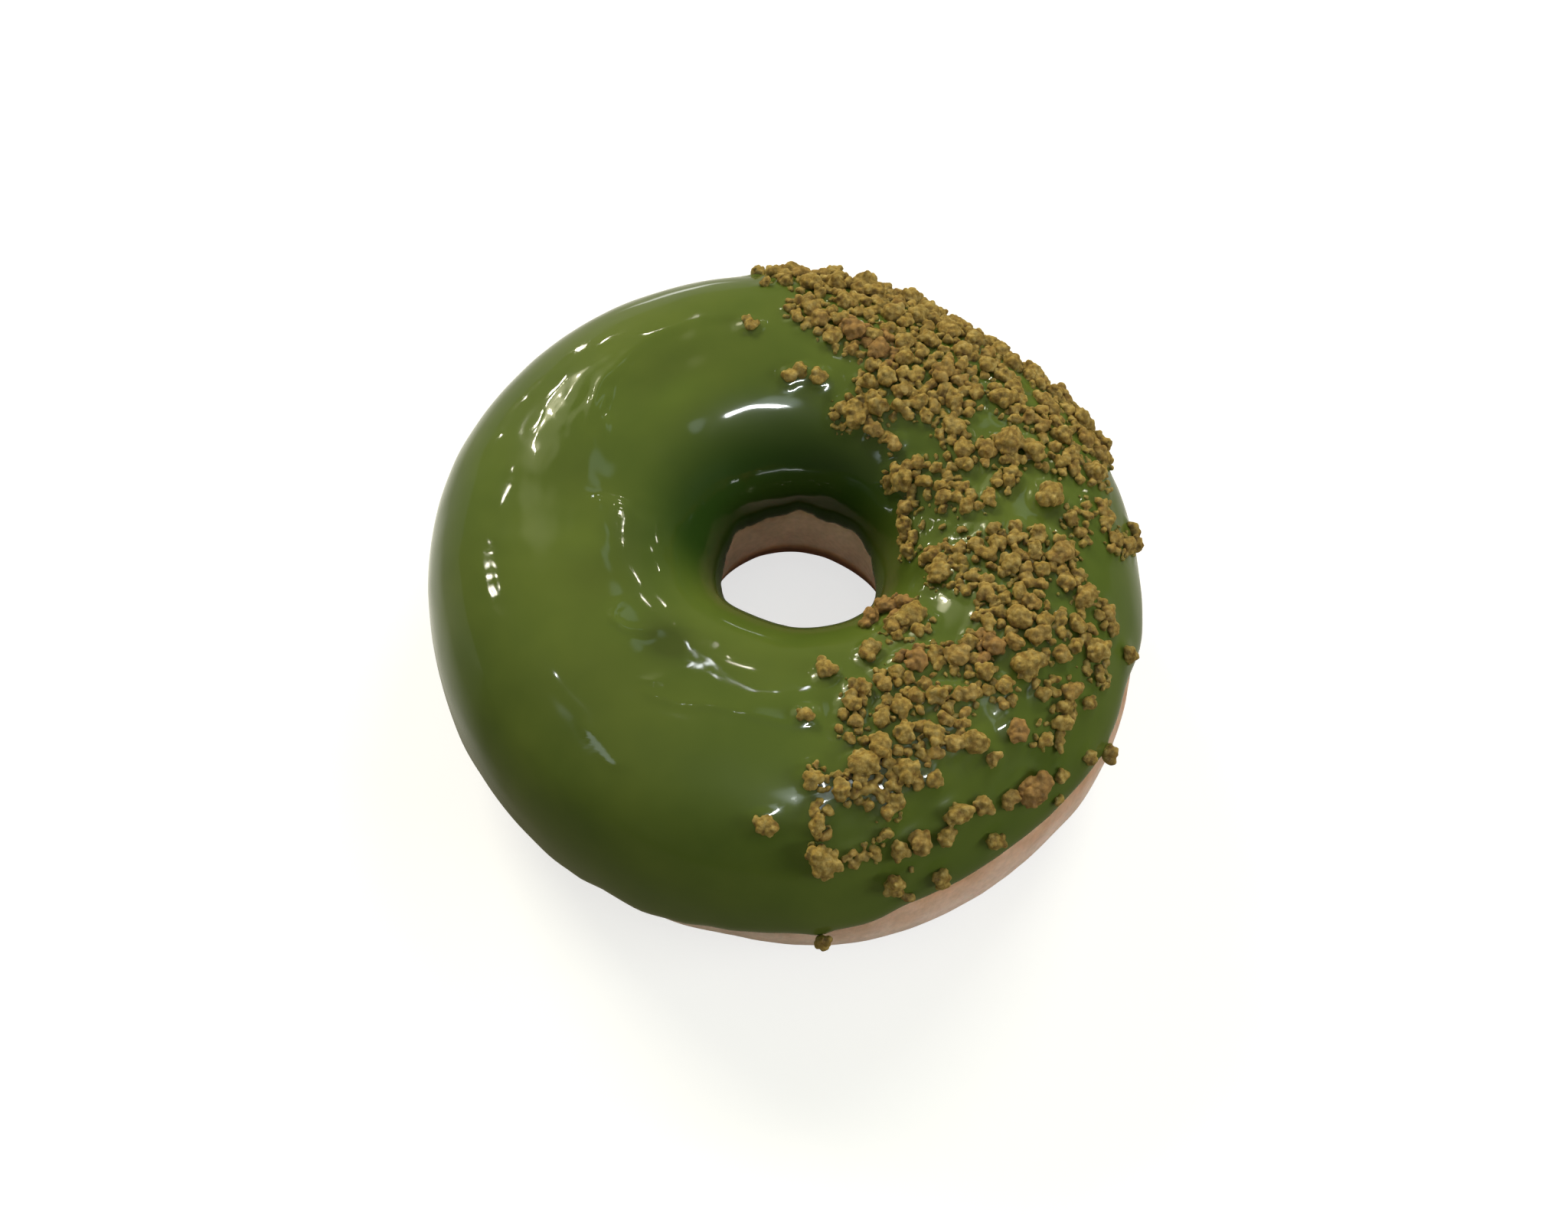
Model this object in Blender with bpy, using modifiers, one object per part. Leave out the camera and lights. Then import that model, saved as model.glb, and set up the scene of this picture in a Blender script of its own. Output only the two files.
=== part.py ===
"""A matcha doughnut: a ring of fried dough under a glossy green icing, with baked crumbs on its right.

Object frame: metres, +Z up, the front towards -Y and the crumbs towards +X. The doughnut lies flat,
and its origin is the centre of its underside's box.

A place on the ring is named by two angles in degrees. Theta goes round the ring, from +X towards +Y.
Phi goes round the ring's section: 0 at the outer side, 90 on the crest, 180 in the hole, 270 below.
Lengths are in millimetres until they become a mesh.
"""

import math

import bmesh
import bpy
import numpy as np
from mathutils import Matrix, Vector

MM = 0.001

# Dough ring
OUTER_RADIUS = 44.0
HOLE_RADIUS = 9.7
HOLE_AT = (1.3, 1.1)  # the hole sits right of the middle, and behind it
WIDEST_LEVEL = 12.8  # height of the ring's outermost line
CREST_RISE = 19.0  # from that line up to the crest
UNDER_DEPTH = 13.3  # from that line down, before the underside is pressed flat
SECTION_POWER = 2.4  # 2 gives an ellipse, and more gives squarer shoulders
OVAL = 1.2  # the ring is longer along theta 135 to 315
OVAL_AT = 135
LOBE = 0.2
LOBE_AT = 46
HOLE_OVAL = 0.5
HOLE_OVAL_AT = 155
# Theta, width in degrees and height of the places where the hole is wider
HOLE_SWELLS = ((210, 26, 1.1), (338, 28, 0.9), (12, 24, 0.6), (180, 12, 0.2))
# Theta, width in degrees and height of the slow swellings and hollows of the outline
OUTLINE_SWELLS = (
    (54, 20, -1.5), (1, 12, -0.6), (185, 20, -0.4), (246, 12, 0.5), (277, 12, 0.3), (308, 14, -0.5),
)

# Icing
GAP = 0.35  # kept between the icing's inner face and the dough
ICING_THICKNESS = 1.15
ICING_RIM = 0.35  # thickness at its edges
ICING_TAPER = 8  # degrees of phi over which it thins to the edge
THICKEST = 2.4
# Theta and phi along the icing's lower edge, and along its edge in the hole
LOWER_EDGE = (
    (2, 15), (30, -10), (60, -20), (120, -23), (150, -18), (180, -22), (205, -14), (228, -16), (235, -10),
    (241, -3), (247, -4), (253, -1), (260, 3), (266, 5), (272, 7), (280, 11), (289, 18), (300, 20),
    (310, 21), (320, 22), (330, 24), (338, 27), (350, 20),
)
HOLE_EDGE = (
    (8, 171), (21, 166), (36, 162), (51, 163), (64, 165), (78, 162), (95, 165), (115, 166),
    (130, 164), (145, 168), (160, 171), (230, 166), (290, 170), (340, 170),
)
# Theta, phi, reach round the ring, reach across it and height of the dents and swellings
RELIEF = (
    (118, 91, 3.6, 2.6, -0.25),
    (138, 93, 9.0, 3.0, -0.25),
    (136, 70, 8.0, 3.0, 0.30),
    (186, 110, 6.0, 5.0, 0.40),
    (228, 101, 3.0, 2.6, -0.32),
    (255, 92, 9.0, 3.0, 0.20),
    (220, 52, 7.0, 4.0, -0.25),
)

# Crumbs
CRUMB_SEED = 7
CRUMB_SINK = 0.5  # how far a crumb goes into the icing
CRUMB_LIFT = 0.26  # height of its middle over the icing, in crumb sizes
CRUMB_HEIGHT = 0.85  # of its width
CRUMB_STRETCH = (0.85, 1.15)
CRUMB_ROUGHNESS = (0.92, 1.22)  # how far its corners lie from a ball's surface
LARGE_CRUMB = 3.9  # from here on a crumb gets the finer mesh
# Theta, phi and size of the crumbs that stand out
KNOWN_CRUMBS = (
    (311, 42, 4.2), (307, 44, 2.3), (298, 49, 3.0), (303, 47, 2.4), (291, 46, 2.8), (295, 44, 2.6),
    (303, 33, 2.4), (293, 31, 2.6), (286, 34, 3.0), (285, 73, 3.8), (293, 68, 3.2), (297, 62, 2.3),
    (301, 74, 2.8), (307, 65, 3.2), (308, 58, 1.9), (315, 61, 2.9), (318, 52, 2.0), (322, 52, 2.4),
    (317, 38, 1.9), (323, 34, 2.2), (327, 25, 2.3), (328, 48, 2.0), (341, 40, 2.2), (276, 45, 4.0),
    (275, 56, 2.4), (266, 55, 2.6), (280, 66, 2.6), (283, 110, 2.5), (300, 114, 2.9), (275, 93, 2.0),
    (287, 96, 2.6), (306, 86, 2.6), (308, 101, 3.0), (312, 129, 2.6), (322, 130, 3.0), (325, 73, 3.9),
    (325, 86, 2.8), (334, 85, 3.5), (332, 76, 3.0), (336, 55, 3.3), (327, 56, 2.6), (345, 64, 3.0),
    (353, 74, 3.0), (348, 94, 2.6), (7, 76, 4.0), (6, 33, 2.2), (22, 84, 4.0), (18, 76, 3.2),
    (29, 127, 3.2), (33, 98, 2.8), (27, 40, 3.2), (58, 32, 3.2), (65, 86, 3.0), (73, 82, 3.4),
    (78, 88, 2.8), (67, 66, 3.2), (62, 117, 3.2), (57, 110, 3.2), (79, 107, 2.2), (85, 106, 2.0),
    (89, 108, 2.0), (99, 83, 1.9), (89, 36, 3.2), (82, 40, 3.2),
)
# Width of each chain of crumbs, then the theta and phi of the places it passes
CRUMB_CHAINS = (
    (13.0, (84, 45), (75, 50), (60, 55), (50, 55)),
    (5.0, (85, 76), (76, 84), (66, 84), (58, 80)),
    (7.0, (60, 92), (50, 92), (42, 86)),
    (7.0, (48, 42), (38, 42), (28, 38), (22, 42)),
    (4.0, (40, 62), (34, 70), (28, 71)),
    (3.5, (30, 55), (24, 64), (18, 62)),
    (3.4, (66, 118), (57, 110), (63, 101)),
    (3.0, (55, 108), (50, 105), (42, 100)),
    (1.8, (53, 118), (43, 118)),
    (3.4, (34, 99), (24, 104)),
    (3.6, (32, 127), (24, 118), (13, 115)),
    (3.6, (22, 92), (18, 77), (14, 62), (13, 50)),
    (2.2, (14, 89), (8, 100), (8, 110)),
    (2.4, (17, 131), (8, 134), (356, 134)),
    (2.4, (5, 61), (1, 68), (358, 65)),
    (2.6, (6, 52), (359, 50), (3, 34)),
    (3.2, (356, 84), (356, 100), (352, 106)),
    (4.2, (352, 104), (348, 94), (350, 84), (353, 75)),
    (3.4, (350, 124), (349, 114), (341, 118), (340, 107), (337, 98)),
    (3.0, (343, 84), (339, 90)),
    (4.0, (347, 69), (345, 64), (343, 56)),
    (6.0, (338, 86), (333, 84), (331, 77), (334, 70)),
    (3.6, (339, 65), (336, 56), (334, 51)),
    (3.6, (332, 93), (321, 91), (318, 83), (318, 73)),
    (3.8, (322, 131), (323, 125), (319, 115), (314, 117)),
    (3.6, (316, 94), (315, 98), (308, 101), (299, 99)),
    (2.8, (324, 63), (327, 56), (322, 52), (318, 52)),
    (3.4, (294, 86), (303, 90), (306, 86), (311, 79)),
    (3.0, (290, 100), (286, 92), (285, 86)),
    (5.0, (291, 79), (296, 76), (303, 73)),
    (4.5, (290, 72), (293, 68)),
    (2.2, (275, 71), (280, 67), (284, 64)),
    (2.0, (276, 60), (276, 45)),
    (2.0, (290, 59), (286, 55), (286, 49), (288, 46)),
    (1.8, (280, 45), (284, 46)),
)
CHAIN_STEP = 1.0  # distance between the points that stand for a chain
CHAIN_FIT = 0.42  # a crumb keeps this much of its size inside its chain
FIRST_THETA, LAST_THETA = 265, 95
LEAST_PHI, MOST_PHI = 15, 145
# Size, number, crowding and stray of the crumbs between the known ones, largest first. Crowding is the
# least distance between two crumbs, in the sum of their sizes, and stray how far they leave a chain.
SOLID_FILLS = ((3.0, 35, 0.46, 0.0), (2.4, 50, 0.44, 0.3), (2.0, 25, 0.42, 0.3))
TRIES_EACH = 40
UNEVENNESS = 0.15  # of a crumb's size

# Mesh fineness
ROUND_STEPS = 64
DOUGH_STEPS = 20
ICING_STEPS = 22  # of a whole section, of which the icing's rows are kept
ICING_ROWS = 15
TORUS_RADIUS = 3  # of the plain torus that the rings start from

DOUGH_COLOUR = (0.50, 0.31, 0.17, 1)
ICING_COLOUR = (0.075, 0.105, 0.02, 1)


def smooth(value):
    value = np.clip(value, 0, 1)
    return value * value * (3 - 2 * value)


def between(turn, points):
    """The values at some angles, smoothly between (angle, value) points that go once round."""
    angles, values = np.array(sorted(points), float).T
    angles = np.concatenate([angles[-1:] - 360, angles, angles[:1] + 360])
    values = np.concatenate([values[-1:], values, values[:1]])
    turn = np.mod(turn, 360)
    step = np.searchsorted(angles, turn, side="right") - 1
    share = (turn - angles[step]) / (angles[step + 1] - angles[step])
    return values[step] + (values[step + 1] - values[step]) * smooth(share)


def turned(angle, at):
    """The turn from one angle to another, from -180 to 180."""
    return np.mod(angle - at + 180, 360) - 180


def outer_radius(theta):
    radius = OUTER_RADIUS + OVAL * np.cos(np.radians(2 * (theta - OVAL_AT)))
    radius = radius + LOBE * np.cos(np.radians(3 * (theta - LOBE_AT)))
    for at, width, height in OUTLINE_SWELLS:
        radius = radius + height * np.exp(-((turned(theta, at) / width) ** 2))
    return radius


def hole_radius(theta):
    angle = np.radians(theta)
    radius = HOLE_RADIUS + HOLE_AT[0] * np.cos(angle) + HOLE_AT[1] * np.sin(angle)
    radius = radius + HOLE_OVAL * np.cos(np.radians(2 * (theta - HOLE_OVAL_AT)))
    for at, width, height in HOLE_SWELLS:
        radius = radius + height * np.exp(-((turned(theta, at) / width) ** 2))
    return radius


def section(theta, phi):
    """Distance from the ring's axis and height of the dough's surface, before it is pressed flat."""
    across, up = np.cos(np.radians(phi)), np.sin(np.radians(phi))
    reach = (np.abs(across) ** SECTION_POWER + np.abs(up) ** SECTION_POWER) ** (-1 / SECTION_POWER)
    outer, inner = outer_radius(theta), hole_radius(theta)
    height = np.where(up > 0, CREST_RISE, UNDER_DEPTH)
    return (outer + inner) / 2 + (outer - inner) / 2 * reach * across, WIDEST_LEVEL + height * reach * up


def ring_points(theta, phi, offset=0.0):
    """Points that lie offset millimetres outside the dough's surface."""
    radius, height = section(theta, phi)
    ahead, behind = section(theta, phi + 0.5), section(theta, phi - 0.5)
    run, rise = ahead[0] - behind[0], ahead[1] - behind[1]
    length = np.hypot(run, rise)
    radius = radius + offset * rise / length
    height = height - offset * run / length
    angle = np.radians(theta)
    return np.stack([radius * np.cos(angle), radius * np.sin(angle), np.maximum(height, 0)], -1)


def relief(theta, phi):
    """Height of the icing's dents and swellings."""
    radius = section(theta, phi)[0]
    section_radius = (outer_radius(theta) - hole_radius(theta)) / 2
    height = 0
    for at, over, long, wide, rise in RELIEF:
        along = np.radians(turned(theta, at)) * radius / long
        across = np.radians(phi - over) * section_radius / wide
        height = height + rise * np.exp(-along * along - across * across)
    return height


def icing_thickness(theta, phi):
    body = smooth((phi - between(theta, LOWER_EDGE)) / ICING_TAPER)
    body = body * smooth((between(theta, HOLE_EDGE) - phi) / ICING_TAPER)
    return ICING_RIM + (ICING_THICKNESS - ICING_RIM + relief(theta, phi)) * body


def line_points(places, step):
    """Places (theta, phi) along a line of places, about step millimetres apart."""
    found = []
    for (theta, phi), (next_theta, next_phi) in zip(places, places[1:]):
        turn = turned(next_theta, theta)
        length = np.linalg.norm(ring_points(theta, phi) - ring_points(next_theta, next_phi))
        for part in np.arange(0, 1, 1 / max(round(length / step), 1)):
            found.append((theta + turn * part, phi + (next_phi - phi) * part))
    found.append(places[-1])
    return np.array(found, float)


def crumb_room(theta, phi):
    """How far a place lies inside the nearest chain of crumbs, in millimetres."""
    points = ring_points(theta, phi)
    room = np.full(np.shape(theta), -np.inf)
    for width, *places in CRUMB_CHAINS:
        for at in ring_points(*line_points(places, CHAIN_STEP).T):
            room = np.maximum(room, width / 2 - np.linalg.norm(points - at, axis=-1))
    return room


def crumb_places(fills):
    """Theta, phi and size of every crumb: the known ones, then fills along the chains."""
    draw = np.random.default_rng(CRUMB_SEED)
    places = np.array(KNOWN_CRUMBS, float)
    points = ring_points(places[:, 0], places[:, 1])
    for size, most, crowding, stray in fills:
        tries = most * TRIES_EACH
        theta = np.mod(draw.uniform(FIRST_THETA, LAST_THETA + 360, tries), 360)
        phi = draw.uniform(LEAST_PHI, MOST_PHI, tries)
        own = size * draw.uniform(1 - UNEVENNESS, 1 + UNEVENNESS, tries)
        wanted = crumb_room(theta, phi) > CHAIN_FIT * own - draw.uniform(0, stray, tries)
        at = ring_points(theta, phi)
        full = len(places) + most
        for k in np.flatnonzero(wanted):
            away = np.linalg.norm(points - at[k], axis=1)
            if len(places) < full and (away > crowding * (own[k] + places[:, 2])).all():
                places = np.vstack([places, (theta[k], phi[k], own[k])])
                points = np.vstack([points, at[k]])
    return places


def material(name, colour, roughness):
    made = bpy.data.materials.new(name)
    made.use_nodes = True
    shader = made.node_tree.nodes["Principled BSDF"]
    shader.inputs["Base Color"].default_value = colour
    shader.inputs["Roughness"].default_value = roughness
    shader.inputs["Metallic"].default_value = 0
    return made


def new_torus(name, steps, collection):
    """A torus of unit section, and the theta and phi of each of its points."""
    bpy.ops.mesh.primitive_torus_add(
        major_segments=ROUND_STEPS, minor_segments=steps, major_radius=TORUS_RADIUS, minor_radius=1
    )
    obj = bpy.context.object
    obj.name = obj.data.name = name
    for home in obj.users_collection:
        home.objects.unlink(obj)
    collection.objects.link(obj)
    x, y, z = np.array([vertex.co for vertex in obj.data.vertices]).T
    return obj, np.degrees(np.arctan2(y, x)), np.degrees(np.arctan2(z, np.hypot(x, y) - TORUS_RADIUS)) % 360


def place(obj, points):
    obj.data.vertices.foreach_set("co", (points * MM).ravel())
    obj.data.update()


def make_dough(collection):
    dough, theta, phi = new_torus("dough", DOUGH_STEPS, collection)
    place(dough, ring_points(theta, phi))
    dough.data.materials.append(material("fried dough", DOUGH_COLOUR, 0.6))
    dough.data.shade_smooth()
    return dough


def make_icing(collection):
    """A band of the ring's surface between the icing's two edges, given its thickness outwards."""
    icing, theta, turn = new_torus("icing", ICING_STEPS, collection)
    row = np.round(turn * ICING_STEPS / 360) % ICING_STEPS
    low, high = between(theta, LOWER_EDGE), between(theta, HOLE_EDGE)
    phi = low + (high - low) * np.minimum(row / ICING_ROWS, 1)
    place(icing, ring_points(theta, phi, GAP))
    weights = icing.vertex_groups.new(name="thickness")
    for index, thickness in enumerate(icing_thickness(theta, phi)):
        weights.add([index], thickness / THICKEST, "REPLACE")
    band = bmesh.new()
    band.from_mesh(icing.data)
    below = [vertex for vertex, kept in zip(band.verts, row <= ICING_ROWS) if not kept]
    bmesh.ops.delete(band, geom=below, context="VERTS")
    band.to_mesh(icing.data)
    band.free()
    shell = icing.modifiers.new("thickness", "SOLIDIFY")
    shell.thickness = THICKEST * MM
    shell.offset = 1
    shell.vertex_group = "thickness"
    icing.data.materials.append(material("matcha icing", ICING_COLOUR, 0.12))
    return icing


def make_crumb(draw, theta, phi, size, collection):
    """A lump with a few uneven faces, its foot flat inside the icing."""
    surface = GAP + icing_thickness(theta, phi)
    at = Vector(ring_points(theta, phi, surface))
    normal = Vector(ring_points(theta, phi, surface + 1)) - at
    turn = normal.to_track_quat("Z", "Y").to_matrix() @ Matrix.Rotation(draw.uniform(0, math.tau), 3, "Z")
    stretch = draw.uniform(*CRUMB_STRETCH)
    lump = bmesh.new()
    bmesh.ops.create_icosphere(lump, subdivisions=2 if size > LARGE_CRUMB else 1, radius=size / 2)
    for vertex in lump.verts:
        x, y, z = vertex.co * draw.uniform(*CRUMB_ROUGHNESS)
        z = max(z * CRUMB_HEIGHT + CRUMB_LIFT * size, -CRUMB_SINK)
        vertex.co = (at + turn @ Vector((x * stretch, y / stretch, z))) * MM
    mesh = bpy.data.meshes.new("crumb")
    lump.to_mesh(mesh)
    lump.free()
    collection.objects.link(bpy.data.objects.new("crumb", mesh))


def fuse(base, pieces):
    """Join a collection's pieces to an object, drop what came loose or was sealed in, and remove them."""
    join = base.modifiers.new("crumbs", "BOOLEAN")
    join.operation = "UNION"
    join.operand_type = "COLLECTION"
    join.collection = pieces
    join.solver = "EXACT"
    graph = bpy.context.evaluated_depsgraph_get()
    fused = bmesh.new()
    fused.from_mesh(bpy.data.meshes.new_from_object(base.evaluated_get(graph)))
    keep_largest_island(fused)
    base.modifiers.clear()
    base.vertex_groups.clear()
    fused.to_mesh(base.data)
    fused.free()
    for piece in list(pieces.objects):
        bpy.data.objects.remove(piece)
    bpy.data.collections.remove(pieces)


def keep_largest_island(mesh):
    unseen = set(mesh.verts)
    islands = []
    while unseen:
        reached = [unseen.pop()]
        island = []
        while reached:
            vertex = reached.pop()
            island.append(vertex)
            for edge in vertex.link_edges:
                other = edge.other_vert(vertex)
                if other in unseen:
                    unseen.remove(other)
                    reached.append(other)
        islands.append(island)
    islands.sort(key=len)
    for island in islands[:-1]:
        bmesh.ops.delete(mesh, geom=island, context="VERTS")


def settle(objects):
    """Move the whole so that its origin is the middle of its box's underside."""
    corners = [vertex.co for obj in objects for vertex in obj.data.vertices]
    low = Vector([min(corner[axis] for corner in corners) for axis in range(3)])
    high = Vector([max(corner[axis] for corner in corners) for axis in range(3)])
    shift = Vector((-(low.x + high.x) / 2, -(low.y + high.y) / 2, -low.z))
    for obj in objects:
        obj.data.transform(Matrix.Translation(shift))


def main():
    for obj in list(bpy.data.objects):
        bpy.data.objects.remove(obj)
    doughnut = bpy.data.collections.new("doughnut")
    pieces = bpy.data.collections.new("crumb pieces")
    for collection in (doughnut, pieces):
        bpy.context.scene.collection.children.link(collection)
    dough = make_dough(doughnut)
    icing = make_icing(doughnut)
    draw = np.random.default_rng(CRUMB_SEED)
    for theta, phi, size in crumb_places(SOLID_FILLS):
        make_crumb(draw, theta, phi, size, pieces)
    fuse(icing, pieces)
    settle((dough, icing))


main()
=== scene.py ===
"""The looks of the matcha doughnut: its dough, its glossy icing and its baked crumbs, in fine meshes.

A place on the ring is named by two angles in degrees, as in the part's source. Theta goes round the
ring, from +X towards +Y. Phi goes round its section: 0 outside, 90 on the crest, 180 in the hole.
Lengths are in millimetres until they become a mesh, a lamp or the camera, which are in metres.
"""

import math

import bmesh
import bpy
import numpy as np
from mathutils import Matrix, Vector, kdtree, noise


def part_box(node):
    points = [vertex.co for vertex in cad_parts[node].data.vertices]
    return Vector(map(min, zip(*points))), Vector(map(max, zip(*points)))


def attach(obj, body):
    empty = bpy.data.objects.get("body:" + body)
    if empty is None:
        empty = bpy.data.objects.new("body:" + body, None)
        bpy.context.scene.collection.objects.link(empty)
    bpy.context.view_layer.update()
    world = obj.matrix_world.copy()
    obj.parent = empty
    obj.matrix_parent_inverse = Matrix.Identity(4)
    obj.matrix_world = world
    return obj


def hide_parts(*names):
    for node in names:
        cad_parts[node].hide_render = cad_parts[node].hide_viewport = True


MM = 0.001

# Dough ring, as in the part's source
OUTER_RADIUS = 44.0
HOLE_RADIUS = 9.7
HOLE_AT = (1.3, 1.1)  # the hole's middle
WIDEST_LEVEL = 12.8  # height at which the ring is widest
CREST_RISE = 19.0  # from there up to the crest
UNDER_DEPTH = 13.3  # from there down to the underside, before it is pressed flat
SECTION_POWER = 2.4  # 2 would give a round section, more a squarer one
OVAL = 1.2  # how oval the outline is
OVAL_AT = 135
LOBE = 0.2  # how three-lobed
LOBE_AT = 46
HOLE_OVAL = 0.5
HOLE_OVAL_AT = 155
# Theta, width in degrees and height of swellings of the hole and of the outline
HOLE_SWELLS = ((210, 26, 1.1), (338, 28, 0.9), (12, 24, 0.6), (180, 12, 0.2))
OUTLINE_SWELLS = (
    (54, 20, -1.5), (1, 12, -0.6), (185, 20, -0.4), (246, 12, 0.5), (277, 12, 0.3), (308, 14, -0.5),
)
SOLID_STEPS = (64, 20)  # round and across the solid ring, whose box gives the ring's place
SLOPE_STEP = 0.5  # degrees of phi to either side over which the section's slope is taken

# The dough's surface
DOUGH_SINK = 0.05  # how far it lies inside the solid one
DOUGH_WAVES = ((0.25, 9.0), (0.08, 2.5))  # height and length of the waves on it
FLAT_BELOW = 1.0  # it has none below this height
CRUST_WAVES = ((1.6, 16.0),)  # those in the edge of its browned part
OUTSIDE_CRUST, HOLE_CRUST = (8.5, 6.0), (11.2, 3.2)  # it is browned below this height, over this depth
GOLDEN = (9.0, 11.0, 0.36)  # and golden above this height, over this rise, at most this much
SIDE_SOFTNESS = 0.5  # how gently the side turns into the crest and the underside

# Icing, as in the part's source
GAP = 0.35
ICING_THICKNESS = 1.15
ICING_INSIDE = -0.3  # height of its inner face, which isn't seen, over the dough
# Theta and phi of places along its edges
LOWER_EDGE = (
    (2, 15), (30, -10), (60, -20), (120, -23), (150, -18), (180, -22), (205, -14), (228, -16), (235, -10),
    (241, -3), (247, -4), (253, -1), (260, 3), (266, 5), (272, 7), (280, 11), (289, 18), (300, 20),
    (310, 21), (320, 22), (330, 24), (338, 27), (350, 20),
)
HOLE_EDGE = (
    (8, 171), (21, 166), (36, 162), (51, 163), (64, 165), (78, 162), (95, 165), (115, 166),
    (130, 164), (145, 168), (160, 171), (230, 166), (290, 170), (340, 170),
)
# Theta, phi, reach round the ring, reach across it and height of its dents and swellings
RELIEF = (
    (118, 91, 3.6, 2.6, -0.25),
    (138, 93, 9.0, 3.0, -0.25),
    (136, 70, 8.0, 3.0, 0.30),
    (186, 110, 6.0, 5.0, 0.40),
    (228, 101, 3.0, 2.6, -0.32),
    (255, 92, 9.0, 3.0, 0.20),
    (220, 52, 7.0, 4.0, -0.25),
)

# The icing's surface
EDGE_ROUND = 3.0  # width of its rounded edge
# Rise, ridge, width of the shoulder, reach behind it, then the places that a fold passes. It rises on the
# left of its line, which may carry a ridge.
FOLDS = (
    (
        -0.32, 0.08, 1.8, 4.0,
        (98, 78), (103, 78), (114, 77), (122, 77), (131, 80), (138, 83), (146, 90), (152, 94),
    ),
    (-0.14, 0.00, 3.0, 5.0, (146, 90), (155, 96), (166, 100)),
    (0.00, 0.14, 1.0, 1.0, (135, 78), (141, 81.5), (145, 84.5), (150, 88)),
    (0.00, 0.13, 0.9, 1.0, (137, 84), (144, 88), (147, 93), (152, 97)),
    (
        0.12, 0.05, 1.3, 5.0,
        (229, 81), (234, 82), (243, 85), (250, 89), (256, 90), (264, 89.5), (272, 88.5), (281, 88),
    ),
    (0.05, 0.10, 0.8, 1.2, (232, 86), (235, 89), (237, 95)),
    (0.00, 0.13, 0.8, 1.2, (209, 107), (209, 101), (212, 96), (217, 97), (221, 102), (223, 108)),
    (0.00, 0.08, 0.8, 1.2, (222, 108), (227, 112), (232, 115), (242, 115), (249, 111)),
    (0.16, 0.00, 1.2, 3.0, (226, 61), (230, 59), (236, 56), (241, 57)),
    (-0.22, 0.06, 1.2, 4.0, (169, 94), (171, 100), (170, 107), (171, 113), (177, 119)),
    (-0.10, 0.00, 1.0, 2.0, (172, 124), (184, 126), (198, 125)),
    (0.00, 0.07, 0.8, 1.0, (262, 149), (275, 150), (291, 150)),
)
FOLD_WAVES = ((0.8, 2.5),)  # how much and over which length a fold's height varies along it
FOLD_STEP = 0.5  # distance between the points that stand for its line
FOLD_ENDS = 5  # it fades over one part in this many at each end
FOLD_BEYOND = 2  # its reach beyond its ends
FOLD_MARGIN = 25  # degrees of theta beyond its ends where it is worked out
# Theta, phi, reach round the ring, reach across it, height, length and stretch round the ring of the ruffles
RUFFLES = (
    (232, 110, 7.0, 4.0, 0.035, 1.6, 1.6),
    (146, 74, 13.0, 6.0, 0.09, 1.8, 1.1),
    (148, 81, 4.0, 2.5, 0.09, 1.1, 3.5),
    (182, 113, 6.0, 5.0, 0.07, 1.3, 1.6),
    (216, 97, 5.0, 4.0, 0.07, 2.2, 1.4),
    (262, 99, 9.0, 4.0, 0.03, 1.5, 3.0),
    (184, 63, 10.0, 3.0, 0.08, 1.7, 1.0),
)
RUFFLE_LEAST = 0.02  # a ruffle ends where it has faded to this share
# Theta, phi, reach round the ring, reach across it and strength of patches of painted light on the icing;
# below 0, the strength gives painted shade
LIGHT_AND_SHADE_PATCHES = (
    (195, 102, 6.0, 5.0, -0.50),
    (163, 92, 5.5, 6.0, -0.45),
    (228, 104, 3.4, 2.4, -1.00),
    (123, 92, 5.0, 4.0, -0.40),
    (102, 92, 8.0, 5.0, -0.20),
    (124, 103, 4.0, 1.8, 0.45),
    (182, 114, 4.0, 3.0, -0.35),
    (214, 98, 3.5, 3.0, 0.30),
    (167, 56, 7.0, 4.0, 0.35),
    (186, 98, 3.0, 3.0, 0.35),
    (232, 75, 12.0, 9.0, -0.25),
    (22, 146, 4.0, 5.0, -0.60),
    (345, 139, 3.0, 4.0, -0.60),
    (60, 120, 6.0, 4.0, 0.60),
    (248, 109, 9.0, 4.0, -0.35),
    (221, 84, 6.0, 5.0, -0.20),
    (226, 48, 16.0, 4.0, 0.30),
    (254, 42, 9.0, 4.0, 0.15),
)
LIGHT_AND_SHADE_SPAN = (0.55, 1.45)  # times the icing's colour where the painted shade is darkest and the painted light palest
HOLE_SHADE_FROM, HOLE_SHADE_OVER = 102, 38  # phi from which painted shade darkens the icing in the hole, and over how many degrees
HOLE_SHADE_AT, HOLE_SHADE_WIDTH = 110, 0.45  # theta where that painted shade is strongest, and how far round it goes
EDGE_WAVES = ((0.9, 7.0), (0.5, 3.1))  # height in degrees of phi and length of the waves along its edges
RIPPLES = ((0.16, 9.0), (0.06, 4.0), (0.008, 1.8))  # height and length of the waves on it
CRUMB_RIPPLES = ((0.05, 2.4), (0.025, 1.1))  # those between the crumbs
AMONG_EDGE = 1.5  # the ripples fade over this width round the crumbs
MENISCUS_HEIGHT = 0.30  # how far the icing climbs a crumb
MENISCUS_FULL = 2.0  # it climbs smaller ones than this less
MENISCUS_REACH = 0.45
CRUMB_FOOT = 0.45  # radius of a crumb's foot, in crumb sizes
CRUMBS_FROM, CRUMBS_TO = -105, 110  # the crumbs lie between these angles of theta

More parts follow.
